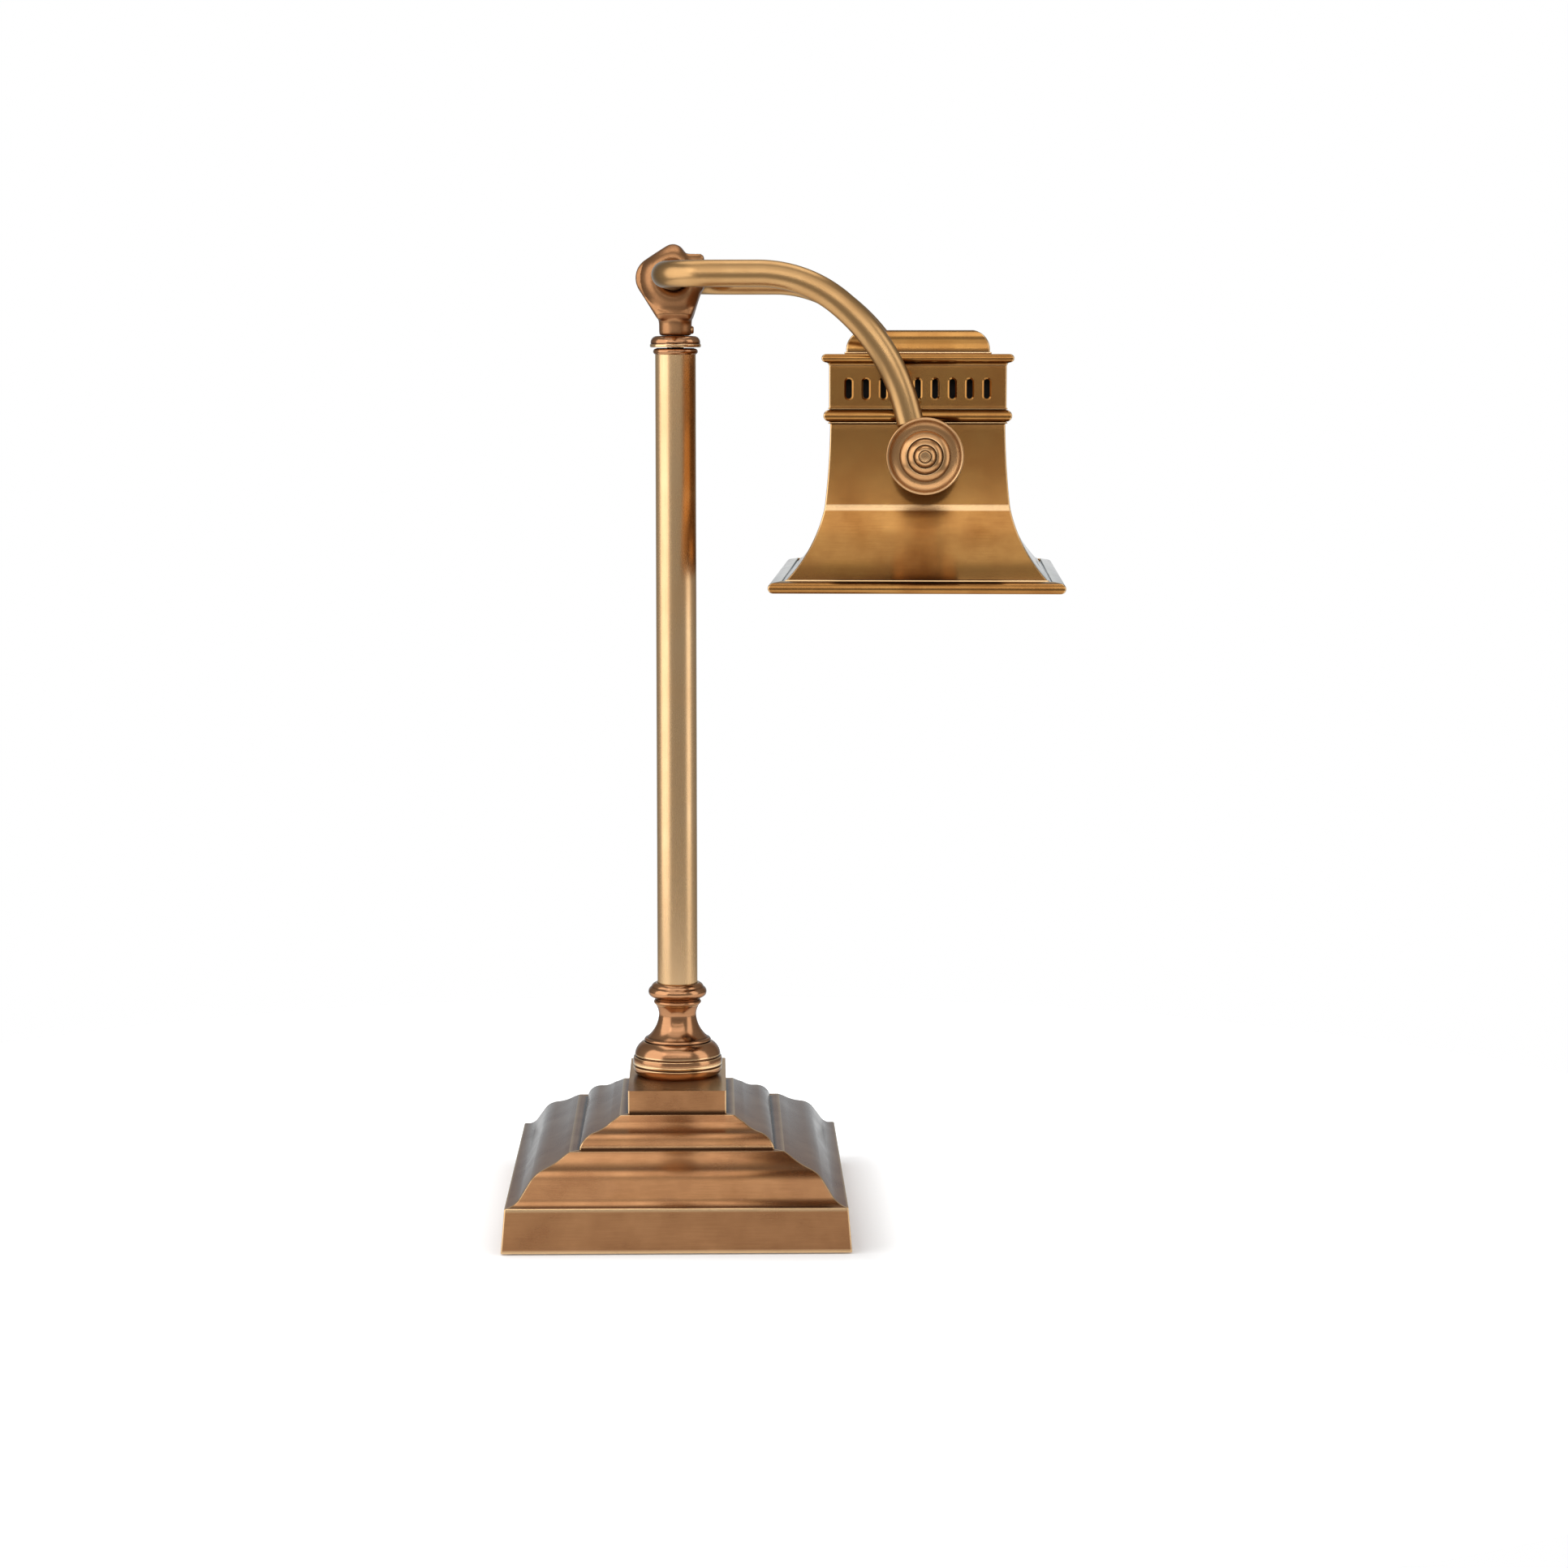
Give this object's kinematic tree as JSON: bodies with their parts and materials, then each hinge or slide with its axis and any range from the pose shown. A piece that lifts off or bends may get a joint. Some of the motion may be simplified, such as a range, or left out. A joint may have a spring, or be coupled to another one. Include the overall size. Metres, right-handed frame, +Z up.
{
  "type": "desk lamp",
  "caption": "Brass desk lamp: stepped rectangular base, slim round post and a tilting yoke that carries a rectangular slotted shade.",
  "frame": {"origin": "on the supporting surface, under the post's axis", "axes": "+Z up along the post, +X towards the shade, the yoke's cross run near Y"},
  "size_m": [0.2662, 0.2211, 0.4583],
  "materials": {
    "brass": "brushed antique brass",
    "bronze": "brushed antique bronze",
    "iron": "rough casting",
    "steel": "zinc plated",
    "felt": "felt",
    "black_plastic": "matte",
    "fibre": "fibre",
    "bulb_glass": "frosted"
  },
  "bodies": {
    "stand": {"base_casting": "bronze", "base_weight": "iron", "base_plate": "steel", "base_felt": "felt", "cord_bushing": "black_plastic", "post_rod": "steel", "rod_nut": "steel", "rod_washer": "steel", "foot_drum": "bronze", "foot_vase": "bronze", "cup_collar": "bronze", "post_tube": "brass", "tube_plug": "brass", "post_cap": "brass"},
    "head": {"knuckle": "bronze", "knuckle_collar": "bronze", "swivel_stud": "steel", "swivel_nut": "steel", "pinch_screw": "brass"},
    "yoke": {"yoke_tube": "brass", "near_boss": "bronze", "far_boss": "bronze"},
    "shade": {"shade_bell": "brass", "vent_gallery": "brass", "cap_plate": "brass", "cap_dome": "brass", "near_pivot_stud": "steel", "far_pivot_stud": "steel", "near_pivot_nut": "steel", "far_pivot_nut": "steel", "near_friction_washer": "fibre", "far_friction_washer": "fibre", "holder_nipple": "steel", "nipple_nut": "steel", "lampholder_cap": "brass", "lampholder_shell": "brass", "bulb_cap": "steel", "bulb_glass": "bulb_glass"},
    "near_knob": {"near_knob": "bronze"},
    "far_knob": {"far_knob": "bronze"},
    "key": {"switch_key": "black_plastic"}
  },
  "joints": [
    {"name": "post_swivel", "type": "hinge", "parent": "stand", "child": "head", "pos_m": [0, 0, 0.41], "axis": [0, 0, 1], "range_deg": [-165, 165]},
    {"name": "yoke_tilt", "type": "hinge", "parent": "head", "child": "yoke", "pos_m": [0, 0, 0.4425], "axis": [-0.061, -0.9981, 0], "range_deg": [-8, 40]},
    {"name": "shade_tilt", "type": "hinge", "parent": "yoke", "child": "shade", "pos_m": [0.11728, -0.00717, 0.362], "axis": [-0.061, -0.9981, 0], "range_deg": [-45, 60]},
    {"name": "near_knob_turn", "type": "hinge", "parent": "shade", "child": "near_knob", "pos_m": [0.1113, -0.10499, 0.362], "axis": [-0.061, -0.9981, 0], "range_deg": [0, 270]},
    {"name": "far_knob_turn", "type": "hinge", "parent": "shade", "child": "far_knob", "pos_m": [0.12326, 0.09064, 0.362], "axis": [0.061, 0.9981, 0], "range_deg": [0, 270]},
    {"name": "switch_turn", "type": "hinge", "parent": "shade", "child": "key", "pos_m": [0.12676, -0.00775, 0.384], "axis": [0.9981, -0.061, 0], "continuous": true}
  ]
}
